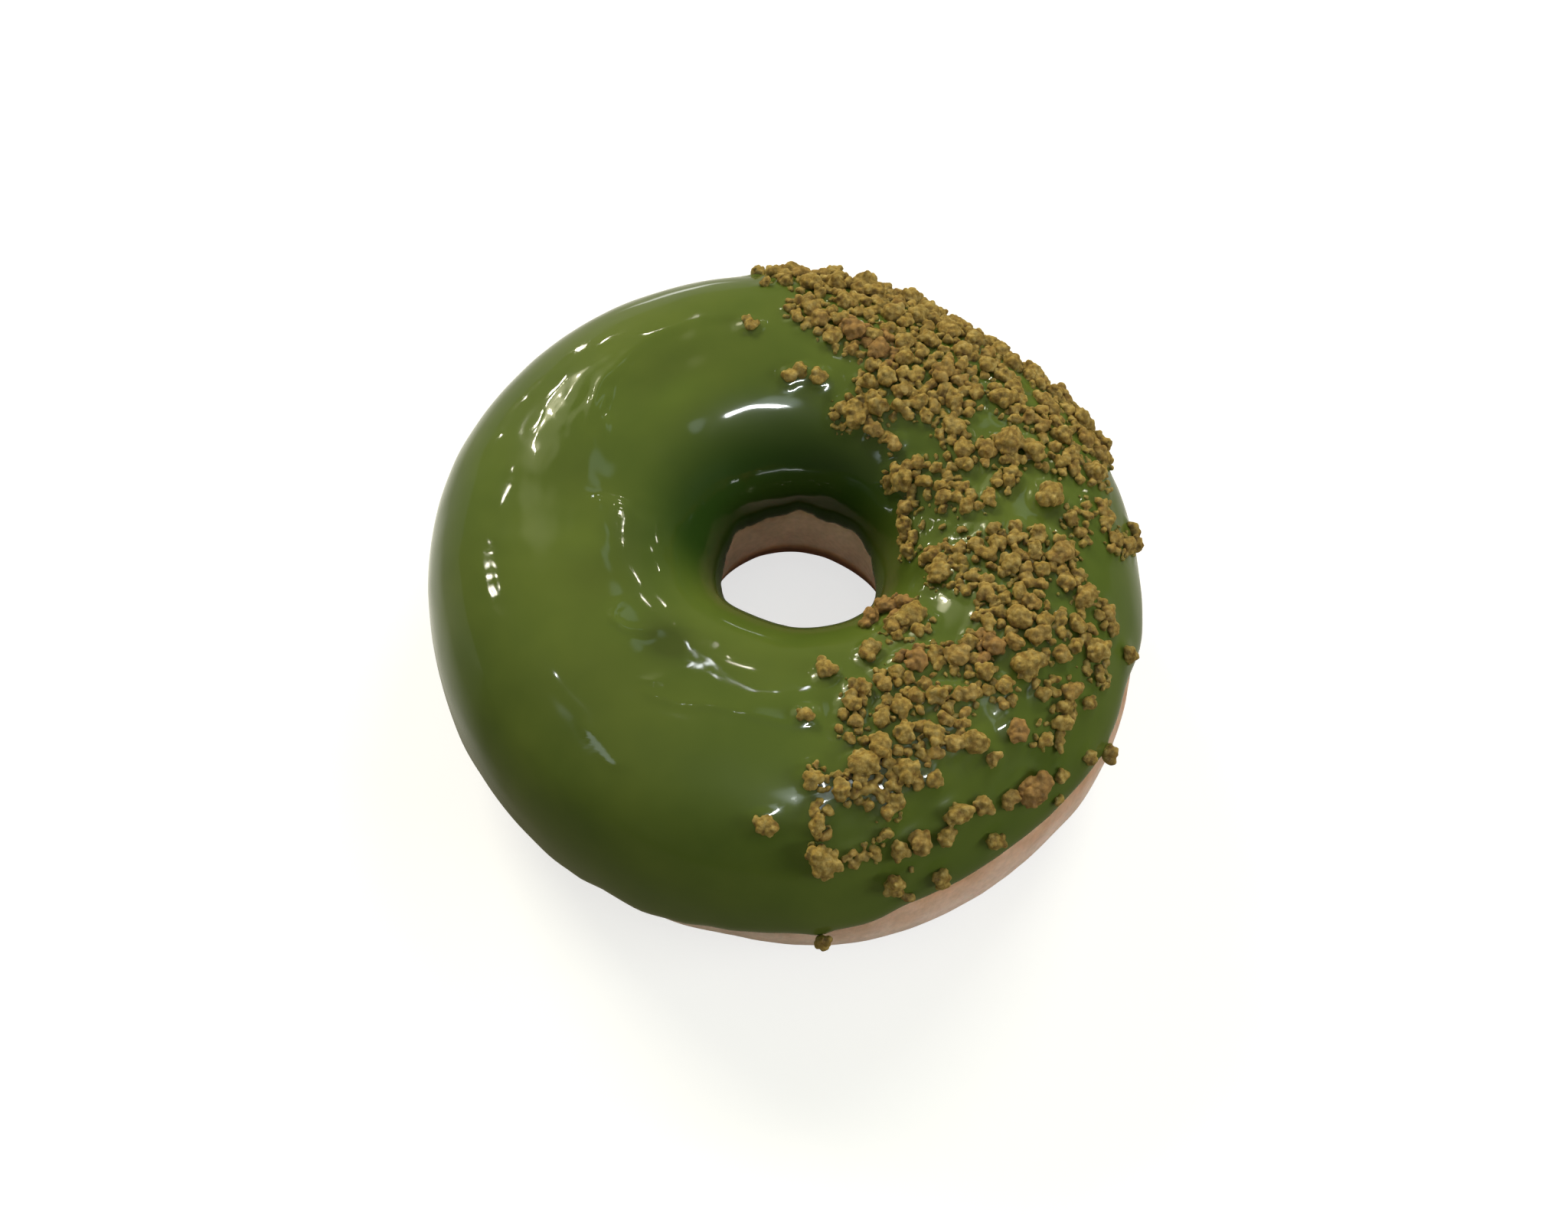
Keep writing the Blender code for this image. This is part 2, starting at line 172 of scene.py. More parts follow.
# Crumbs, the solid ones as in the part's source
CRUMB_SEED = 7
KNOWN_CRUMBS = (
    (311, 42, 4.2), (307, 44, 2.3), (298, 49, 3.0), (303, 47, 2.4), (291, 46, 2.8), (295, 44, 2.6),
    (303, 33, 2.4), (293, 31, 2.6), (286, 34, 3.0), (285, 73, 3.8), (293, 68, 3.2), (297, 62, 2.3),
    (301, 74, 2.8), (307, 65, 3.2), (308, 58, 1.9), (315, 61, 2.9), (318, 52, 2.0), (322, 52, 2.4),
    (317, 38, 1.9), (323, 34, 2.2), (327, 25, 2.3), (328, 48, 2.0), (341, 40, 2.2), (276, 45, 4.0),
    (275, 56, 2.4), (266, 55, 2.6), (280, 66, 2.6), (283, 110, 2.5), (300, 114, 2.9), (275, 93, 2.0),
    (287, 96, 2.6), (306, 86, 2.6), (308, 101, 3.0), (312, 129, 2.6), (322, 130, 3.0), (325, 73, 3.9),
    (325, 86, 2.8), (334, 85, 3.5), (332, 76, 3.0), (336, 55, 3.3), (327, 56, 2.6), (345, 64, 3.0),
    (353, 74, 3.0), (348, 94, 2.6), (7, 76, 4.0), (6, 33, 2.2), (22, 84, 4.0), (18, 76, 3.2),
    (29, 127, 3.2), (33, 98, 2.8), (27, 40, 3.2), (58, 32, 3.2), (65, 86, 3.0), (73, 82, 3.4),
    (78, 88, 2.8), (67, 66, 3.2), (62, 117, 3.2), (57, 110, 3.2), (79, 107, 2.2), (85, 106, 2.0),
    (89, 108, 2.0), (99, 83, 1.9), (89, 36, 3.2), (82, 40, 3.2),
)
REDDISH_CRUMBS = ((311, 43), (318, 131), (324, 129), (65, 86), (315, 61), (324, 86), (308, 102), (73, 81))
REDDISH_REACH = 2.2  # crumbs this near to those places are baked reddish
LONE_CRUMBS = (  # small ones off the chains
    (289, 37, 0.9), (288, 27, 1.4), (275, 9, 2.2), (94, 60, 1.5), (95, 42, 2.1), (319, 47, 1.2),
    (315, 30, 1.3), (333, 45, 1.1), (6, 128, 1.1), (2, 120, 1.0), (359, 112, 1.1), (284, 68.5, 1.5),
    (287.5, 62, 1.6), (282, 71, 1.2), (282.5, 65, 1.6), (286, 65.3, 1.5), (289.3, 64.5, 1.5),
    (287.3, 67.5, 1.2),
)
CRUMB_CHAINS = (  # width of a chain of crumbs, then the places it passes
    (13.0, (84, 45), (75, 50), (60, 55), (50, 55)),
    (5.0, (85, 76), (76, 84), (66, 84), (58, 80)),
    (7.0, (60, 92), (50, 92), (42, 86)),
    (7.0, (48, 42), (38, 42), (28, 38), (22, 42)),
    (4.0, (40, 62), (34, 70), (28, 71)),
    (3.5, (30, 55), (24, 64), (18, 62)),
    (3.4, (66, 118), (57, 110), (63, 101)),
    (3.0, (55, 108), (50, 105), (42, 100)),
    (1.8, (53, 118), (43, 118)),
    (3.4, (34, 99), (24, 104)),
    (3.6, (32, 127), (24, 118), (13, 115)),
    (3.6, (22, 92), (18, 77), (14, 62), (13, 50)),
    (2.2, (14, 89), (8, 100), (8, 110)),
    (2.4, (17, 131), (8, 134), (356, 134)),
    (2.4, (5, 61), (1, 68), (358, 65)),
    (2.6, (6, 52), (359, 50), (3, 34)),
    (3.2, (356, 84), (356, 100), (352, 106)),
    (4.2, (352, 104), (348, 94), (350, 84), (353, 75)),
    (3.4, (350, 124), (349, 114), (341, 118), (340, 107), (337, 98)),
    (3.0, (343, 84), (339, 90)),
    (4.0, (347, 69), (345, 64), (343, 56)),
    (6.0, (338, 86), (333, 84), (331, 77), (334, 70)),
    (3.6, (339, 65), (336, 56), (334, 51)),
    (3.6, (332, 93), (321, 91), (318, 83), (318, 73)),
    (3.8, (322, 131), (323, 125), (319, 115), (314, 117)),
    (3.6, (316, 94), (315, 98), (308, 101), (299, 99)),
    (2.8, (324, 63), (327, 56), (322, 52), (318, 52)),
    (3.4, (294, 86), (303, 90), (306, 86), (311, 79)),
    (3.0, (290, 100), (286, 92), (285, 86)),
    (5.0, (291, 79), (296, 76), (303, 73)),
    (4.5, (290, 72), (293, 68)),
    (2.2, (275, 71), (280, 67), (284, 64)),
    (2.0, (276, 60), (276, 45)),
    (2.0, (290, 59), (286, 55), (286, 49), (288, 46)),
    (1.8, (280, 45), (284, 46)),
)
CHAIN_STEP = 1.0  # distance between the points that stand for a chain
CHAIN_FIT = 0.42  # a crumb keeps this much of its size inside its chain
FIRST_THETA, LAST_THETA = 265, 95  # the chains are filled between these
LEAST_PHI, MOST_PHI = 15, 145
# Size, greatest number, how far apart in sums of two sizes, and how far off the chains they may stray
SOLID_FILLS = ((3.0, 35, 0.46, 0.0), (2.4, 50, 0.44, 0.3), (2.0, 25, 0.42, 0.3))
FINE_FILLS = (
    (2.2, 80, 0.40, 0.3), (1.7, 190, 0.38, 0.5), (1.3, 380, 0.37, 0.7), (0.9, 420, 0.40, 0.9),
    (0.6, 160, 0.52, 1.1),
)
TRIES_EACH = 40  # places tried for each crumb wanted
UNEVENNESS = 0.15  # how much their sizes differ

# A crumb is a clump of granules round a core
CORE = 0.38  # radius of the core, in crumb sizes
SECOND_CORE = 0.28  # that of the second one
SECOND_AWAY = 0.75  # how far that one lies from the first, in radii of the first
SECOND_RISE = (-0.2, 0.6)  # and how much higher, least and most, for as much aside
GRANULE_RADII = (0.26, 0.60)
GRANULE_LARGEST = 0.3  # greatest radius of a granule, in crumb sizes
GRANULE_DEPTH = (-0.1, 0.6)  # how far its middle lies inside the core, in its own radii
GRANULES_EACH = 0.80  # times the core's area, over that of a usual granule
BALL_AREA = 4  # area of a ball over that of its outline
BALL_FINENESS = 2
WIDTHS = (0.85, 1.15)  # least and most width of a crumb or a granule
HEIGHTS = (0.85, 1.2)  # least and most height of a crumb
CRUMB_HEIGHT = 0.85  # of its width
CRUMB_LIFT = 0.22  # height of its middle over the icing, in crumb sizes
HEAPING = 0.6  # how far a crumb climbs a larger one beside it
GRAIN = ((0.16, 1.3), (0.10, 0.5), (0.05, 0.32))  # height and length of the roughness of a crumb's surface
CELLS = 0.20, 0.75  # height and length of the lumps on it
# Kinds of crumbs by their least size, so that none has more than about 180,000 triangles
KINDS = (("largest", 3.1), ("large", 2.45), ("medium", 2.0), ("lesser", 1.5), ("small", 0.9), ("fine", 0))
MOST_BAKED, BAKE_POWER = 0.6, 1.5  # how reddish a crumb may be, and how rare that is
GLAZED_HEIGHT = 0.9  # up to here over the icing a crumb is tinted by it
VOXEL = 0.16  # fineness of the mesh of melted granules

# Mesh fineness
DOUGH_STEPS = (300, 120)
ICING_STEPS = (560, 150)
ICING_INNER_ROWS = 10  # of the rows across, those on its inner face
FINER_MIDDLE = 0.3  # how much closer its rows lie on the crest
TORUS_RADIUS = 3  # of the torus that a ring is made from

USUAL_NOISE = (0.3, 0.7)  # values that the materials' noise seldom goes beyond

# Camera
LENS, SENSOR = 50.0, 36.0
NEAREST_SEEN = 0.01  # in metres
ELEVATION = 61.5
DISTANCE = 274.0
AIM = (-0.3, -2.7, 16.0)

# Sky and ground, which the object reflects
SKY_COLOUR = (0.34, 0.34, 0.17)
SKY_BRIGHTEST = (-0.35, 0.55, 0.76)  # the direction in which it is brightest
SKY_SPAN = (-0.3, 0.9)  # the likeness to that direction between which it brightens
SKY_LEAST = 0.22  # its strength on the far side
# Theta and phi where the icing reflects a soft glow of the sky, its radius in degrees and its colour
GLOWS = (
    (95, 117.5, 9.0, (1.7, 2.0, 2.1)),
    (126, 117.5, 6.0, (1.0, 1.2, 1.3)),
    (140.5, 71, 7.0, (6.2, 5.8, 4.0)),
    (232, 58, 7.0, (1.6, 1.9, 2.1)),
    (147, 75, 14.0, (0.8, 0.8, 0.5)),
    (163, 99.5, 5.0, (0.5, 0.7, 0.75)),
)
GLINT_POINTS, GLOW_POINTS = 5, 60  # points of the icing that tell the direction of a glint, and of a glow
LARGE_GLINT = 32.0  # a lamp from this size on is placed as a glow is
GROUND_LEVEL = -0.5
GROUND_DARK, GROUND_PALE = (0.142, 0.130, 0.080), (0.85, 0.84, 0.70)
# How strong its shades are: two distances from the ring's axis and the share of the shade at each
GROUND_UNDER = (15.0, 40.0, 0.35, 1)  # the dark one fades under the ring
GROUND_RISE = (42.0, 50.0, 0, 1)  # the pale one begins outside it
GROUND_FALL = (56.0, 95.0, 1, 0.3)  # and fades farther out
GROUND_BACK = (-28.0, 14.0, 0, 1)  # along y, it is at the back only
GROUND_RIGHT = (20.0, 60.0, 1, 0.45)  # along x, it fades on the right
# Theta and phi where the icing reflects a pale patch of the ground, its radius and its strength
GROUND_PATCHES = ((113, 53, 20.0, 2.2), (107, 53, 15.0, 2.0))

# Lights
LAMP_DISTANCE = 1200.0
LAMP_RADIUS = 9.5
LAMP_POWER = 4.5  # watts for each square decimetre
DECIMETRE = 100
WARM, COOL, PLAIN, SUNNY = (1.0, 0.93, 0.76), (0.93, 0.97, 1.0), (0.96, 0.97, 0.96), (1.0, 0.99, 0.88)
# Theta and phi of the places on the icing that shine back at the camera, and the lamp's size
WARM_GLINTS = (
    (140.5, 71, 2.3), (144.5, 67.5, 1.2), (148.5, 68.5, 1.3), (149, 58, 0.8), (154, 69.5, 1.5),
    (159.5, 72, 1.0), (158.5, 57.5, 1.0), (134.5, 61, 0.9), (129.5, 65.5, 0.9), (120.5, 73.5, 0.7),
    (172.5, 66.5, 0.8), (188, 62.5, 0.8), (193, 60, 0.9), (170.5, 110, 1.0), (179, 111, 0.8),
    (183, 123, 0.6), (199, 121, 0.8), (211, 110, 0.6), (242, 114, 0.5), (256, 109, 0.5),
)
COOL_GLINTS = ((30, 119, 1.0), (243, 103.5, 0.45), (257, 90.3, 0.40), (243.5, 86, 0.35))
STRIP_GLINT, STRIP_SIZE = (102, 118.5), (360.0, 55.0)
KEY_GLINT, KEY_SIZE, KEY_WATTS = (148, 70), (500.0, 300.0), 11.5
SOFT_LIGHTS = (  # name, place, watts, colour and size
    ("fill", (1200.0, -350.0, 500.0), 10.0, PLAIN, (900.0, 300.0)),
    ("front", (-450.0, -1100.0, 280.0), 2.5, PLAIN, (900.0, 300.0)),
    ("side", (500.0, 900.0, 900.0), 8.0, SUNNY, (500.0, 500.0)),
)
FLOOR_SIZE = 6.0  # its width in metres, and the width and height of the wall round it
WALL_SIDES = 96


def smooth(value):
    """A soft step from 0 to 1."""
    value = np.clip(value, 0, 1)
    return value * value * (3 - 2 * value)


def between(turn, points):
    """The values at some angles, smoothly between (angle, value) points that go once round."""
    angles, values = np.array(sorted(points), float).T
    angles = np.concatenate([angles[-1:] - 360, angles, angles[:1] + 360])
    values = np.concatenate([values[-1:], values, values[:1]])
    turn = np.mod(turn, 360)
    step = np.searchsorted(angles, turn, side="right") - 1
    share = (turn - angles[step]) / (angles[step + 1] - angles[step])
    return values[step] + (values[step + 1] - values[step]) * smooth(share)


def turned(angle, at):
    """The turn from one angle to another, from -180 to 180."""
    return np.mod(angle - at + 180, 360) - 180


def outer_radius(theta):
    """Distance of the dough's outer side from the ring's axis."""
    radius = OUTER_RADIUS + OVAL * np.cos(np.radians(2 * (theta - OVAL_AT)))
    radius = radius + LOBE * np.cos(np.radians(3 * (theta - LOBE_AT)))
    for at, width, height in OUTLINE_SWELLS:
        radius = radius + height * np.exp(-((turned(theta, at) / width) ** 2))
    return radius


def hole_radius(theta):
    """Distance of its inner side."""
    angle = np.radians(theta)
    radius = HOLE_RADIUS + HOLE_AT[0] * np.cos(angle) + HOLE_AT[1] * np.sin(angle)
    radius = radius + HOLE_OVAL * np.cos(np.radians(2 * (theta - HOLE_OVAL_AT)))
    for at, width, height in HOLE_SWELLS:
        radius = radius + height * np.exp(-((turned(theta, at) / width) ** 2))
    return radius


def section(theta, phi):
    """Distance from the ring's axis and height of the dough's surface, before it is pressed flat."""
    across, up = np.cos(np.radians(phi)), np.sin(np.radians(phi))
    reach = (np.abs(across) ** SECTION_POWER + np.abs(up) ** SECTION_POWER) ** (-1 / SECTION_POWER)
    outer, inner = outer_radius(theta), hole_radius(theta)
    height = np.where(up > 0, CREST_RISE, UNDER_DEPTH)
    return (outer + inner) / 2 + (outer - inner) / 2 * reach * across, WIDEST_LEVEL + height * reach * up


def ring_points(theta, phi, offset=0.0):
    """Points that lie offset millimetres outside the dough's surface."""
    radius, height = section(theta, phi)
    ahead, behind = section(theta, phi + SLOPE_STEP), section(theta, phi - SLOPE_STEP)
    run, rise = ahead[0] - behind[0], ahead[1] - behind[1]
    length = np.hypot(run, rise)
    radius = radius + offset * rise / length
    height = height - offset * run / length
    angle = np.radians(theta)
    return np.stack([radius * np.cos(angle), radius * np.sin(angle), np.maximum(height, 0)], -1)


def outwards(theta, phi):
    """Directions straight out of the ring's surface."""
    return ring_points(theta, phi, 1.0) - ring_points(theta, phi)


def section_radius(theta):
    """Half the width of the ring's section."""
    return (outer_radius(theta) - hole_radius(theta)) / 2


def distances(theta, phi, at, over):
    """How far places are from one place, round the ring and across it."""
    along = np.radians(turned(theta, at)) * section(theta, phi)[0]
    return along, np.radians(phi - over) * section_radius(theta)


def patches(theta, phi, places):
    """The sum of soft round patches, each with its theta, phi, reach round, reach across and strength."""
    total = 0
    for at, over, long, wide, strength in places:
        along, across = distances(theta, phi, at, over)
        total = total + strength * np.exp(-((along / long) ** 2) - (across / wide) ** 2)
    return total


def fold_height(points, theta, phi, fold):
    """Height of one fold at points of the ring: a step over its line that fades behind it and at its ends."""
    rise, ridge, shoulder, reach, *places = fold
    line = line_points(places, FOLD_STEP)
    at = ring_points(*line.T)
    along = np.gradient(at, axis=0)
    aside = np.cross(outwards(*line.T), along)
    aside /= np.linalg.norm(aside, axis=1, keepdims=True)
    share = np.linspace(0, 1, len(at))
    fade = smooth(share * FOLD_ENDS) * smooth((1 - share) * FOLD_ENDS) * (1 + waves(at, FOLD_WAVES))
    height = np.zeros(len(points))
    first, last = np.min(line[:, 0]) - FOLD_MARGIN, np.max(line[:, 0]) + FOLD_MARGIN
    near = np.flatnonzero((turned(theta, first) > 0) & (turned(theta, last) < 0))
    away = points[near, None] - at
    distance = np.linalg.norm(away, axis=2)
    weight = np.exp(-((distance - distance.min(1, keepdims=True)) / FOLD_STEP) ** 2)
    weight /= weight.sum(1, keepdims=True)
    side = ((away * aside).sum(2) * weight).sum(1)
    beyond = np.maximum(distance.min(1) - np.abs(side), 0)
    step = rise * smooth(side / shoulder + 0.5) * np.exp(-np.maximum(side, 0) / reach)
    step += ridge * np.exp(-((side / shoulder * 2) ** 2))
    height[near] = step * (fade * weight).sum(1) * np.exp(-((beyond / FOLD_BEYOND) ** 2))
    return height


def ruffle_height(theta, phi, ruffle):
    """Height of a patch of waves that run round the ring, with finer ones on them."""
    at, over, long, wide, rise, length, stretch = ruffle
    along, across = distances(theta, phi, at, over)
    share = np.exp(-((along / long) ** 2) - (across / wide) ** 2)
    near = share > RUFFLE_LEAST
    height = np.zeros(len(theta))
    places = np.stack([along / stretch, across, np.full(len(theta), float(at))], -1)
    height[near] = share[near] * waves(places[near], ((rise, length), (rise / 3, length / 2)))
    return height


def line_points(places, step):
    """Places (theta, phi) along a line of places, about step millimetres apart."""
    found = []
    for (theta, phi), (next_theta, next_phi) in zip(places, places[1:]):
        turn = turned(next_theta, theta)
        length = np.linalg.norm(ring_points(theta, phi) - ring_points(next_theta, next_phi))
        for part in np.arange(0, 1, 1 / max(round(length / step), 1)):
            found.append((theta + turn * part, phi + (next_phi - phi) * part))
    found.append(places[-1])
    return np.array(found, float)


def crumb_room(theta, phi):
    """How far a place lies inside the nearest chain of crumbs, in millimetres."""
    points = ring_points(theta, phi)
    room = np.full(np.shape(theta), -np.inf)
    for width, *places in CRUMB_CHAINS:
        for at in ring_points(*line_points(places, CHAIN_STEP).T):
            room = np.maximum(room, width / 2 - np.linalg.norm(points - at, axis=-1))
    return room


def crumb_places(fills):
    """Theta, phi and size of every crumb: the known ones, then fills along the chains."""
    draw = np.random.default_rng(CRUMB_SEED)
    places = np.array(KNOWN_CRUMBS, float)
    points = ring_points(places[:, 0], places[:, 1])
    for size, most, crowding, stray in fills:
        tries = most * TRIES_EACH
        theta = np.mod(draw.uniform(FIRST_THETA, LAST_THETA + 360, tries), 360)
        phi = draw.uniform(LEAST_PHI, MOST_PHI, tries)
        own = size * draw.uniform(1 - UNEVENNESS, 1 + UNEVENNESS, tries)
        wanted = crumb_room(theta, phi) > CHAIN_FIT * own - draw.uniform(0, stray, tries)
        at = ring_points(theta, phi)
        full = len(places) + most
        for k in np.flatnonzero(wanted):
            away = np.linalg.norm(points - at[k], axis=1)
            if len(places) < full and (away > crowding * (own[k] + places[:, 2])).all():
                places = np.vstack([places, (theta[k], phi[k], own[k])])
                points = np.vstack([points, at[k]])
    return places


def waves(points, scales, shift=0.0):
    """Smooth noise at points: the sum of waves of several heights and lengths.

    Another shift gives other waves of the same kind.
    """
    height = np.zeros(len(points))
    for rise, length in scales:
        places = points / length + shift
        height += rise * np.array([noise.noise(place) for place in places])
    return height


def ring_place():
    """Where the ring's axis stands in the frame, from the box of the solid dough."""
    theta, phi = np.meshgrid(*(np.arange(steps) * 360 / steps for steps in SOLID_STEPS))
    points = ring_points(theta, phi).reshape(-1, 3)
    middle = (points.min(0) + points.max(0)) / 2
    low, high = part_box("dough")
    found = (np.array(low) + np.array(high)) / 2 / MM
    return np.array([found[0] - middle[0], found[1] - middle[1], 0])


def add_object(name, data):
    """A new object in the scene."""
    obj = bpy.data.objects.new(name, data)
    bpy.context.scene.collection.objects.link(obj)
    return obj


def point_at(obj, at, aim):
    """Stand a camera or a lamp at one place and point it at another."""
    obj.location = Vector(at * MM)
    obj.rotation_euler = Vector(aim - at).to_track_quat("-Z", "Y").to_euler()


def new_torus(name, steps):
    """A torus of unit section, and the theta of each of its points and their turn across."""
    bpy.ops.mesh.primitive_torus_add(
        major_segments=steps[0], minor_segments=steps[1], major_radius=TORUS_RADIUS, minor_radius=1
    )
    obj = bpy.context.object
    obj.name = obj.data.name = name
    x, y, z = np.array([vertex.co for vertex in obj.data.vertices]).T
    return obj, np.degrees(np.arctan2(y, x)), np.degrees(np.arctan2(z, np.hypot(x, y) - TORUS_RADIUS)) % 360


def set_points(obj, points):
    """Move the points of a mesh, given from the ring's axis."""
    obj.data.vertices.foreach_set("co", ((points + RING_PLACE) * MM).astype(np.float32).ravel())
    obj.data.update()
    obj.data.shade_smooth()


def add_values(obj, name, values):
    """Keep a number at each point of a mesh, for its material to read."""
    layer = obj.data.attributes.new(name, "FLOAT", "POINT")
    layer.data.foreach_set("value", values.astype(np.float32))


class Nodes:
    """The nodes of a material or world, made and linked in few words."""

    def __init__(self, owner, spot="Object"):
        owner.use_nodes = True
        self.owner = owner
        self.tree = owner.node_tree
        self.spot = self.add("ShaderNodeTexCoord").outputs[spot]

    def add(self, kind, **settings):
        node = self.tree.nodes.new(kind)
        for key, value in settings.items():
            setattr(node, key, value)
        return node

    def link(self, source, target):
        self.tree.links.new(source, target)

    def noise(self, size, detail=2.0, roughness=0.5):
        """Noise from 0 to 1 whose features are about size millimetres."""
        node = self.add("ShaderNodeTexNoise")
        node.inputs["Scale"].default_value = 1 / (size * MM)
        node.inputs["Detail"].default_value = detail
        node.inputs["Roughness"].default_value = roughness
        self.link(self.spot, node.inputs["Vector"])
        return node.outputs["Fac"]

    def values(self, name):
        """The numbers kept at a mesh's points by add_values."""
        return self.add("ShaderNodeAttribute", attribute_name=name).outputs["Fac"]

    def ramp(self, source, *stops):
        """Colours at values of the source, each stop (value, colour)."""
        node = self.add("ShaderNodeValToRGB")
        elements = node.color_ramp.elements
        while len(elements) < len(stops):
            elements.new(1)
        for element, (at, colour) in zip(elements, stops):
            element.position = at
            element.color = (*colour, 1)
        self.link(source, node.inputs["Fac"])
        return node.outputs["Color"]

    def span(self, source, low, high, new_low, new_high, way="LINEAR"):
        """Turn a source's values from low to high into new ones."""
        node = self.add("ShaderNodeMapRange", interpolation_type=way)
        for key, value in (("From Min", low), ("From Max", high), ("To Min", new_low), ("To Max", new_high)):
            node.inputs[key].default_value = value
        self.link(source, node.inputs["Value"])
        return node.outputs["Result"]

    def feed(self, socket, source):
        """Give a socket its source: another socket, a number or a colour."""
        if isinstance(source, bpy.types.NodeSocket):
            self.link(source, socket)
        elif isinstance(source, tuple):
            socket.default_value = (*source, 1)
        else:
            socket.default_value = source

    def mottle(self, size, low, high, detail=2.0):
        """Noise that wanders between two values."""
        return self.span(self.noise(size, detail), *USUAL_NOISE, low, high)

    def mix(self, share, first, second, blend="MIX"):
        """A share of the second colour put over the first."""
        node = self.add("ShaderNodeMix", data_type="RGBA", blend_type=blend)
        colours = [socket for socket in node.inputs if socket.type == "RGBA"]
        for socket, source in zip((node.inputs[0], *colours), (share, first, second)):
            self.feed(socket, source)
        return next(socket for socket in node.outputs if socket.type == "RGBA")

    def times(self, colour, *factors):
        """A colour times others."""
        for factor in factors:
            colour = self.mix(1.0, colour, factor, "MULTIPLY")
        return colour

    def math(self, operation, *terms):
        """An operation on two terms, each a socket or a number."""
        node = self.add("ShaderNodeMath", operation=operation)
        for socket, term in zip(node.inputs, terms):
            self.feed(socket, term)
        return node.outputs["Value"]

    def along(self, direction):
        """How far the spot lies along a direction."""
        node = self.add("ShaderNodeVectorMath", operation="DOT_PRODUCT")
        self.link(self.spot, node.inputs[0])
        node.inputs[1].default_value = Vector(direction).normalized()
        return node.outputs["Value"]

    def distance(self, place):
        """How far the spot is from a place."""
        node = self.add("ShaderNodeVectorMath", operation="DISTANCE")
        self.link(self.spot, node.inputs[0])
        node.inputs[1].default_value = Vector(place)
        return node.outputs["Value"]

    def bump(self, source, height, under=None):
        """A bump of height millimetres, on top of another if one is given."""
        node = self.add("ShaderNodeBump")
        node.inputs["Strength"].default_value = 1
        node.inputs["Distance"].default_value = height * MM
        self.link(source, node.inputs["Height"])
        if under:
            self.link(under, node.inputs["Normal"])
        return node.outputs["Normal"]

    def finish(self, colour, normal=None, **settings):
        """Set the material's shader. Each setting is a socket's name and its value or source."""
        shader = self.tree.nodes["Principled BSDF"]
        self.link(colour, shader.inputs["Base Color"])
        if normal:
            self.link(normal, shader.inputs["Normal"])
        for key, value in settings.items():
            self.feed(shader.inputs[key.replace("_", " ")], value)
        return self.owner


def dough_material():
    """Pale to brown by the browning kept at each point, blotched and speckled, and in the hole pinker and
    brightened by painted light.
    """
    nodes = Nodes(bpy.data.materials.new("fried dough"))
    pale, gold, brown = (0.76, 0.56, 0.47), (0.56, 0.31, 0.18), (0.24, 0.080, 0.040)
    pinker_and_painted_light = (1.14, 1.13, 1.25)
    crust = nodes.math("ADD", nodes.values("crust"), nodes.mottle(6, -0.12, 0.12, detail=3))
    blotches = nodes.mottle(3.5, 0.91, 1.08)
    specks = nodes.span(nodes.noise(0.7), 0.35, 0.65, 0.92, 1.05)
    colour = nodes.ramp(crust, (0.05, pale), (0.45, gold), (0.95, brown))
    # The side in the hole is pinker and brightened by painted light
    colour = nodes.mix(nodes.values("inside"), colour, nodes.times(colour, pinker_and_painted_light))
    colour = nodes.times(colour, blotches, specks)
    normal = nodes.bump(nodes.noise(1.6, 4, 0.6), 0.10)
    normal = nodes.bump(nodes.noise(0.35), 0.03, normal)
    return nodes.finish(colour, normal, Roughness=0.62, Subsurface_Weight=0.12, Subsurface_Scale=0.002)


def icing_material():
    """Green under a clear gloss, with painted light and shade in patches, painted shade in the hole, fine
    ripples between the crumbs.
    """
    nodes = Nodes(bpy.data.materials.new("matcha icing"))
    deep, light, shaded = (0.065, 0.098, 0.014), (0.086, 0.120, 0.018), (0.0178, 0.042, 0.0055)
    colour = nodes.ramp(nodes.noise(14, 3), (0.35, deep), (0.65, light))
    # Patches of painted light and painted shade
    colour = nodes.times(colour, nodes.span(nodes.values("painted_light_and_shade"), -1, 1, *LIGHT_AND_SHADE_SPAN))
    # Painted shade in the hole: the depth values mix in the shaded colour
    colour = nodes.mix(nodes.values("depth"), colour, shaded)
    ripples = nodes.math("MULTIPLY", nodes.noise(0.7, 1), nodes.values("among"))
    normal = nodes.bump(nodes.noise(0.5), 0.002)
    normal = nodes.bump(ripples, 0.045, normal)
    gloss = {"Coat_Weight": 1.0, "Coat_Roughness": 0.07}
    return nodes.finish(colour, normal, Roughness=0.35, IOR=1.42, Specular_IOR_Level=0.08, **gloss)


def crumb_material():
    """Baked unevenly, with painted shade in the creases and painted light on the lumps, and tinted and wetted
    by the icing near their feet.
    """
    nodes = Nodes(bpy.data.materials.new("baked crumbs"))
    dark, mid, pale = (0.146, 0.078, 0.014), (0.288, 0.192, 0.043), (0.420, 0.315, 0.112)
    reddish, tinted = (0.280, 0.146, 0.050), (0.150, 0.155, 0.024)
    wet = nodes.math("ADD", nodes.values("glaze"), nodes.mottle(1.5, -0.25, 0.25))
    colour = nodes.ramp(nodes.noise(0.9, 4, 0.65), (0.30, dark), (0.50, mid), (0.72, pale))
    colour = nodes.mix(nodes.span(nodes.values("bake"), 0.2, 1.0, 0.0, 0.7), colour, reddish)
    # Painted shade in the creases and painted light on the tops of the lumps
    colour = nodes.times(colour, nodes.span(nodes.values("crease_shade"), 0.30, 0.75, 1.10, 0.74))
    colour = nodes.mix(nodes.span(wet, 0.25, 1.0, 0.0, 0.75), colour, tinted)
    normal = nodes.bump(nodes.noise(0.40, 4, 0.7), 0.14)
    normal = nodes.bump(nodes.noise(0.13), 0.05, normal)
    roughness = nodes.span(wet, 0.3, 0.9, 0.72, 0.30)
    return nodes.finish(colour, normal, Roughness=roughness, Specular_IOR_Level=0.35)


